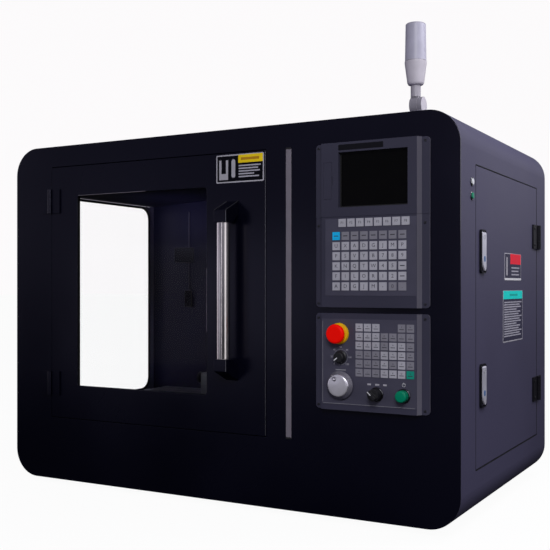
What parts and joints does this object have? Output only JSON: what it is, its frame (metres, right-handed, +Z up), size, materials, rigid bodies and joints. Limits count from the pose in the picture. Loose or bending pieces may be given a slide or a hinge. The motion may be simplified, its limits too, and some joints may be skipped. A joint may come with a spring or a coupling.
{
  "type": "desktop cnc milling machine",
  "caption": "Enclosed desktop CNC milling machine with hinged front and side doors, control panels, folding signal lamp and a three-axis mill with a vise inside.",
  "frame": {"origin": "on the floor, under the middle of the bounding box", "axes": "+X to the machine's right, +Y to its rear, +Z up"},
  "size_m": [1.2107, 0.787, 1.1085],
  "materials": {
    "casing_paint": "satin powder coat",
    "front_paint": "smooth semi-gloss coat",
    "side_door_paint": "satin powder coat",
    "liner_paint": "satin",
    "partition_paint": "satin",
    "panel_paint": "fine textured coat",
    "black_plastic": "moulded",
    "black_cast": "satin black",
    "clear_pane": "clear",
    "window_seal": "matt",
    "light_diffuser": "smooth",
    "screen_glass": "glossy",
    "key_film": "satin film with raised keys",
    "stop_red": "moulded",
    "stop_yellow": "moulded",
    "button_green": "moulded",
    "button_white": "moulded",
    "bright_metal": "polished",
    "handle_steel": "polished tube",
    "wheel_metal": "turned",
    "lamp_grey": "moulded",
    "lamp_clear": "ribbed lens",
    "cast_grey": "painted",
    "head_paint": "painted",
    "ground_steel": "ground",
    "table_iron": "ground",
    "vise_dark": "blackened",
    "motor_black": "satin",
    "drive_plastic": "moulded"
  },
  "bodies": {
    "casing": {"left_wrap": "casing_paint", "right_wrap": "casing_paint", "front_panel": "front_paint", "rear_panel": "casing_paint", "levelling_feet": "black_plastic", "partition_wall": "partition_paint", "chamber_liner": "liner_paint", "chip_pan": "liner_paint", "side_window_pane": "clear_pane", "light_strip": "light_diffuser", "hinge_fixed_leaves": "black_cast", "display_bezel": "panel_paint", "display_screen": "screen_glass", "keyboard_bezel": "panel_paint", "operator_bezel": "panel_paint", "keypads": "key_film", "estop_collar": "stop_yellow", "control_bezels": "bright_metal", "lamp_base": "lamp_grey", "machine_bed": "cast_grey", "column": "cast_grey", "guide_rails": "ground_steel", "axis_motors": "motor_black", "cabinet_plate": "partition_paint", "servo_drives": "drive_plastic", "rear_fittings": "black_plastic"},
    "front_door": {"front_door_panel": "front_paint", "door_window_pane": "clear_pane", "door_window_seal": "window_seal", "handle_tube": "handle_steel", "handle_brackets": "black_cast", "front_hinge_moving_leaves": "black_cast"},
    "side_door": {"side_door_panel": "side_door_paint", "side_door_fittings": "black_cast"},
    "upper_latch": {"upper_latch_lever": "bright_metal"},
    "lower_latch": {"lower_latch_lever": "bright_metal"},
    "emergency_stop": {"estop_head": "stop_red"},
    "override": {"override_knob": "black_plastic"},
    "wheel": {"handwheel": "wheel_metal"},
    "selector": {"selector_knob": "black_plastic"},
    "start": {"start_button": "button_green"},
    "power_on": {"power_on_button": "button_white"},
    "power_off": {"power_off_button": "button_green"},
    "fan": {"fan_rotor": "black_plastic"},
    "lamp": {"lamp_stem": "lamp_grey", "lamp_lens": "lamp_clear"},
    "y_carriage": {"saddle": "cast_grey"},
    "x_carriage": {"table": "table_iron", "table_rails": "ground_steel", "table_motor": "motor_black", "vise_body": "table_iron"},
    "milling_head": {"head_casting": "head_paint", "spindle_motor": "motor_black"},
    "spindle_body": {"spindle": "ground_steel"},
    "x_lead_screw": {"x_screw": "ground_steel"},
    "y_lead_screw": {"y_screw": "ground_steel"},
    "z_lead_screw": {"z_screw": "ground_steel"},
    "moving_jaw": {"vise_jaw": "table_iron"},
    "jaw_screw": {"vise_screw": "vise_dark"}
  },
  "joints": [
    {"name": "front_door_hinge", "type": "hinge", "parent": "casing", "child": "front_door", "pos_m": [-0.48535, -0.346, 0.4925], "axis": [0, 0, -1], "range_deg": [0, 110]},
    {"name": "side_door_hinge", "type": "hinge", "parent": "casing", "child": "side_door", "pos_m": [0.60015, 0.2945, 0.4425], "axis": [0, 0, 1], "range_deg": [0, 110]},
    {"name": "upper_latch_turn", "type": "hinge", "parent": "side_door", "child": "upper_latch", "pos_m": [0.59795, -0.1945, 0.62], "axis": [0, -1, 0], "range_deg": [0, 40]},
    {"name": "lower_latch_turn", "type": "hinge", "parent": "side_door", "child": "lower_latch", "pos_m": [0.59795, -0.1945, 0.335], "axis": [0, -1, 0], "range_deg": [0, 40]},
    {"name": "emergency_stop_push", "type": "slide", "parent": "casing", "child": "emergency_stop", "axis": [0, 1, 0], "range_m": [0, 0.004], "stiffness_N_per_m": 3000},
    {"name": "override_turn", "type": "hinge", "parent": "casing", "child": "override", "pos_m": [0.34065, -0.3605, 0.359], "axis": [0, 1, 0], "range_deg": [-135, 135]},
    {"name": "handwheel_turn", "type": "hinge", "parent": "casing", "child": "wheel", "pos_m": [0.34065, -0.3605, 0.3], "axis": [0, 1, 0], "continuous": true},
    {"name": "selector_turn", "type": "hinge", "parent": "casing", "child": "selector", "pos_m": [0.42265, -0.3605, 0.285], "axis": [0, 1, 0], "range_deg": [0, 90]},
    {"name": "start_push", "type": "slide", "parent": "casing", "child": "start", "axis": [0, 1, 0], "range_m": [0, 0.003], "stiffness_N_per_m": 900},
    {"name": "power_on_push", "type": "slide", "parent": "casing", "child": "power_on", "axis": [-1, 0, 0], "range_m": [0, 0.003], "stiffness_N_per_m": 600},
    {"name": "power_off_push", "type": "slide", "parent": "casing", "child": "power_off", "axis": [-1, 0, 0], "range_m": [0, 0.003], "stiffness_N_per_m": 600},
    {"name": "fan_spin", "type": "hinge", "parent": "casing", "child": "fan", "pos_m": [0.43465, 0.3645, 0.156], "axis": [0, 1, 0], "continuous": true},
    {"name": "lamp_fold", "type": "hinge", "parent": "casing", "child": "lamp", "pos_m": [0.42365, -0.1225, 0.92], "axis": [-1, 0, 0], "range_deg": [0, 90]},
    {"name": "y_slide", "type": "slide", "parent": "casing", "child": "y_carriage", "axis": [0, 1, 0], "range_m": [-0.05, 0.05]},
    {"name": "x_slide", "type": "slide", "parent": "y_carriage", "child": "x_carriage", "axis": [1, 0, 0], "range_m": [-0.095, 0.095]},
    {"name": "z_slide", "type": "slide", "parent": "casing", "child": "milling_head", "axis": [0, 0, 1], "range_m": [-0.07, 0.09]},
    {"name": "spindle_spin", "type": "hinge", "parent": "milling_head", "child": "spindle_body", "pos_m": [-0.13735, -0.0055, 0.416], "axis": [0, 0, 1], "continuous": true},
    {"name": "x_screw_spin", "type": "hinge", "parent": "x_carriage", "child": "x_lead_screw", "pos_m": [-0.13735, -0.0055, 0.165], "axis": [1, 0, 0], "continuous": true},
    {"name": "y_screw_spin", "type": "hinge", "parent": "casing", "child": "y_lead_screw", "pos_m": [-0.13735, -0.0405, 0.113], "axis": [0, 1, 0], "continuous": true},
    {"name": "z_screw_spin", "type": "hinge", "parent": "casing", "child": "z_lead_screw", "pos_m": [-0.13735, 0.1535, 0.516], "axis": [0, 0, 1], "continuous": true},
    {"name": "jaw_slide", "type": "slide", "parent": "x_carriage", "child": "moving_jaw", "axis": [1, 0, 0], "range_m": [-0.042, 0.016]},
    {"name": "jaw_screw_spin", "type": "hinge", "parent": "moving_jaw", "child": "jaw_screw", "pos_m": [-0.21535, -0.0055, 0.256], "axis": [1, 0, 0], "continuous": true}
  ],
  "couplings": [
    {"joint": "x_screw_spin", "follows": "x_slide", "rad_per_m": -1256.6},
    {"joint": "y_screw_spin", "follows": "y_slide", "rad_per_m": -1256.6},
    {"joint": "z_screw_spin", "follows": "z_slide", "rad_per_m": -1256.6},
    {"joint": "jaw_screw_spin", "follows": "jaw_slide", "rad_per_m": 1256.6}
  ]
}
